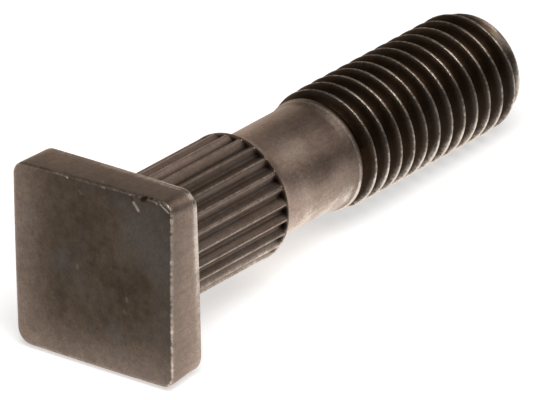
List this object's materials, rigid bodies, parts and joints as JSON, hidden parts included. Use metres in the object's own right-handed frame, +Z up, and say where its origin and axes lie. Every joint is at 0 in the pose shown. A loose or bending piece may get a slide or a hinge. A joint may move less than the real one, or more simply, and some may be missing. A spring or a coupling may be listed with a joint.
{
  "type": "square-head serrated bolt",
  "caption": "Press-in bolt with a thin square head, straight-serrated shoulder, reduced plain shank and coarse right-hand thread with a chamfered point, lying on its side.",
  "frame": {"origin": "middle of the footprint, on the surface the bolt lies on", "axes": "+X along the bolt towards the point, which dips 3.6 degrees because head and thread both touch the floor; +Z up"},
  "size_m": [0.0378, 0.012, 0.0121],
  "materials": {
    "steel": "dark brown-black oxide, worn bright on the edges"
  },
  "bodies": {
    "root": {"bolt": "steel"}
  },
  "joints": []
}
